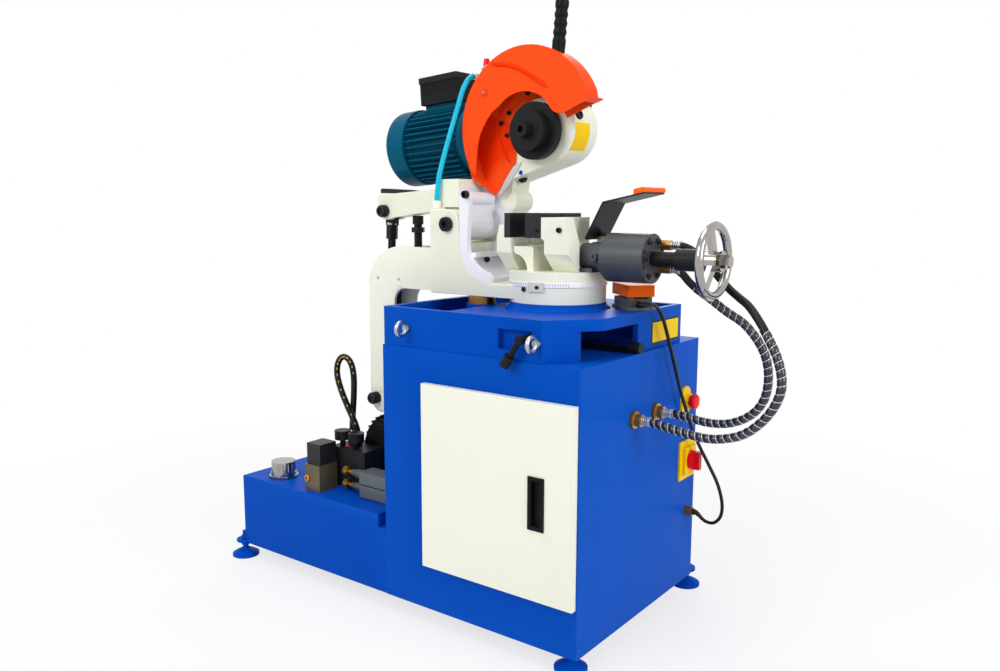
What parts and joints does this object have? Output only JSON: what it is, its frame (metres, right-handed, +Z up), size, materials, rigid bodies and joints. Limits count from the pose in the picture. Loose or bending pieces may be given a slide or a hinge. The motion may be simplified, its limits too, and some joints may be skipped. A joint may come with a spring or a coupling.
{
  "type": "swivel-head cold saw",
  "caption": "Floor-standing cold saw with a swivelling, tilting saw head, hydraulic feed and vise, cast tray, sheet cabinet with a door and an oil tank beside it.",
  "frame": {"origin": "on the floor under the middle of the machine's box, hoses and cables left out", "axes": "+X along the vise towards the handwheel, +Y away from the operator, +Z up"},
  "size_m": [1.5749, 0.7009, 1.5343],
  "materials": {
    "blue_paint": "gloss",
    "cream_paint": "satin",
    "orange_paint": "gloss",
    "motor_paint": "satin",
    "black_steel": "satin",
    "cylinder_black": "anodised",
    "machined_steel": "machined",
    "bright_chrome": "polished",
    "cast_aluminium": "machined",
    "grey_metal": "cast",
    "zinc_sheet": "plain",
    "olive_block": "oxide",
    "bronze": "plain",
    "black_plastic": "moulded",
    "black_rubber": "moulded",
    "cyan_hose": "gloss",
    "red_plastic": "gloss",
    "yellow_plastic": "gloss",
    "orange_plastic": "moulded"
  },
  "bodies": {
    "base": {"cabinet": "blue_paint", "oil_tank": "blue_paint", "feet": "blue_paint", "tray_casting": "blue_paint", "eye_bolts": "machined_steel", "slide_pad": "bronze", "vise_table": "cream_paint", "jaw_left": "cream_paint", "jaw_left_plates": "black_steel", "vise_cylinder": "cylinder_black", "chip_deflector": "black_steel", "coolant_unit": "zinc_sheet", "electric_panel": "zinc_sheet", "foot_switch_base": "grey_metal", "switch_plates": "yellow_plastic", "hose_fittings": "machined_steel", "breather_cap": "bright_chrome", "manifold_block": "olive_block", "valve_stack": "black_steel", "flow_valves": "grey_metal", "pump_motor": "black_steel", "pump_hose": "black_rubber", "vise_hose_upper": "black_rubber", "vise_hose_lower": "black_rubber", "foot_cable": "black_rubber"},
    "door": {"door": "cream_paint", "door_pull": "black_plastic"},
    "swivel": {"swivel_base": "cream_paint", "hinge_pin": "black_steel", "feed_bracket": "cream_paint", "stop_post": "black_steel", "chip_trough": "cast_aluminium"},
    "head": {"head_casting": "cream_paint", "gear_cover": "cream_paint", "saw_guard": "orange_paint", "feed_handle": "black_plastic", "motor_frame": "motor_paint", "terminal_box": "black_plastic", "coolant_valve": "bronze", "coolant_hose": "cyan_hose"},
    "spindle": {"spindle": "machined_steel", "blade_flange": "black_steel"},
    "rotor": {"motor_rotor": "machined_steel"},
    "worm": {"worm_shaft": "machined_steel"},
    "feed_barrel": {"feed_barrel": "black_steel"},
    "feed_rod": {"feed_rod": "machined_steel"},
    "vise_piston": {"vise_piston": "machined_steel"},
    "handwheel": {"vise_screw": "black_steel", "handwheel": "bright_chrome"},
    "jaw": {"jaw_right": "cream_paint", "jaw_right_plates": "black_steel", "vise_rod": "black_steel"},
    "swivel_lock": {"swivel_lock_lever": "black_steel"},
    "index_lever": {"index_lever": "black_steel"},
    "estop": {"estop_button": "red_plastic"},
    "main_switch": {"main_switch_knob": "red_plastic"},
    "foot_pedal": {"foot_pedal": "orange_plastic"},
    "coolant_knob": {"coolant_knob": "red_plastic"},
    "flow_knob_upper": {"flow_knob_upper": "bronze"},
    "flow_knob_lower": {"flow_knob_lower": "bronze"}
  },
  "joints": [
    {"name": "door_hinge", "type": "hinge", "parent": "base", "child": "door", "pos_m": [0.067, -0.3236, 0.39], "axis": [0, 0, -1], "range_deg": [0, 90]},
    {"name": "swivel", "type": "hinge", "parent": "base", "child": "swivel", "pos_m": [0.275, -0.06, 0.836], "axis": [0, 0, 1], "range_deg": [0, 45]},
    {"name": "head_pivot", "type": "hinge", "parent": "swivel", "child": "head", "pos_m": [0.006, -0.06, 1.001], "axis": [0, 1, 0], "range_deg": [0, 24], "deforming": ["coolant_hose"]},
    {"name": "spindle_turn", "type": "hinge", "parent": "head", "child": "spindle", "pos_m": [0.203, 0.02, 1.23], "axis": [0, 1, 0], "continuous": true},
    {"name": "motor_turn", "type": "hinge", "parent": "head", "child": "rotor", "pos_m": [-0.09697, 0.02, 1.21905], "axis": [0.9976, 0, 0.0698], "continuous": true},
    {"name": "worm_turn", "type": "hinge", "parent": "head", "child": "worm", "pos_m": [0.09763, 0.02, 1.30333], "axis": [0.9976, 0, 0.0698], "continuous": true},
    {"name": "feed_barrel_swing", "type": "hinge", "parent": "swivel", "child": "feed_barrel", "pos_m": [-0.308, -0.06, 0.502], "axis": [0, 1, 0], "range_deg": [-1, 4]},
    {"name": "feed_rod_swing", "type": "hinge", "parent": "head", "child": "feed_rod", "pos_m": [-0.283, -0.06, 1.033], "axis": [0, 1, 0], "range_deg": [-22, 1]},
    {"name": "vise_stroke", "type": "slide", "parent": "base", "child": "vise_piston", "axis": [-1, 0, 0], "range_m": [0, 0.008]},
    {"name": "handwheel_turn", "type": "hinge", "parent": "vise_piston", "child": "handwheel", "pos_m": [0.68, -0.06, 0.9278], "axis": [1, 0, 0], "range_deg": [-2016, 1800]},
    {"name": "jaw_travel", "type": "slide", "parent": "vise_piston", "child": "jaw", "axis": [1, 0, 0], "range_m": [-0.0281, 0.0251]},
    {"name": "swivel_lock_turn", "type": "hinge", "parent": "base", "child": "swivel_lock", "pos_m": [0.275, -0.06, 0.714], "axis": [0, 0, 1], "range_deg": [-35, 0]},
    {"name": "index_turn", "type": "hinge", "parent": "base", "child": "index_lever", "pos_m": [0.356, -0.316, 0.755], "axis": [0, 1, 0], "range_deg": [-40, 30]},
    {"name": "estop_press", "type": "slide", "parent": "base", "child": "estop", "axis": [-1, 0, 0], "range_m": [0, 0.005], "stiffness_N_per_m": 1500},
    {"name": "main_switch_turn", "type": "hinge", "parent": "base", "child": "main_switch", "pos_m": [0.52, 0.225, 0.385], "axis": [1, 0, 0], "range_deg": [0, 90]},
    {"name": "pedal_press", "type": "hinge", "parent": "base", "child": "foot_pedal", "pos_m": [0.47141, -0.00435, 0.837], "axis": [-0.6428, -0.766, 0], "range_deg": [0, 5], "stiffness_Nm_per_rad": 4, "springref_deg": -8.59},
    {"name": "coolant_turn", "type": "hinge", "parent": "head", "child": "coolant_knob", "pos_m": [0.00629, 0.004, 1.37664], "axis": [-0.0698, 0, 0.9976], "range_deg": [0, 90]},
    {"name": "flow_upper_turn", "type": "hinge", "parent": "base", "child": "flow_knob_upper", "pos_m": [-0.31, -0.226, 0.31], "axis": [1, 0, 0], "range_deg": [0, 270]},
    {"name": "flow_lower_turn", "type": "hinge", "parent": "base", "child": "flow_knob_lower", "pos_m": [-0.31, -0.226, 0.273], "axis": [1, 0, 0], "range_deg": [0, 270]}
  ],
  "couplings": [
    {"joint": "feed_barrel_swing", "follows": "head_pivot", "ratio": 0.108},
    {"joint": "feed_rod_swing", "follows": "head_pivot", "ratio": -0.892},
    {"joint": "jaw_travel", "follows": "handwheel_turn", "m_per_rad": 0.00079577},
    {"joint": "worm_turn", "follows": "motor_turn", "ratio": -0.75},
    {"joint": "spindle_turn", "follows": "motor_turn", "ratio": 0.041667}
  ]
}
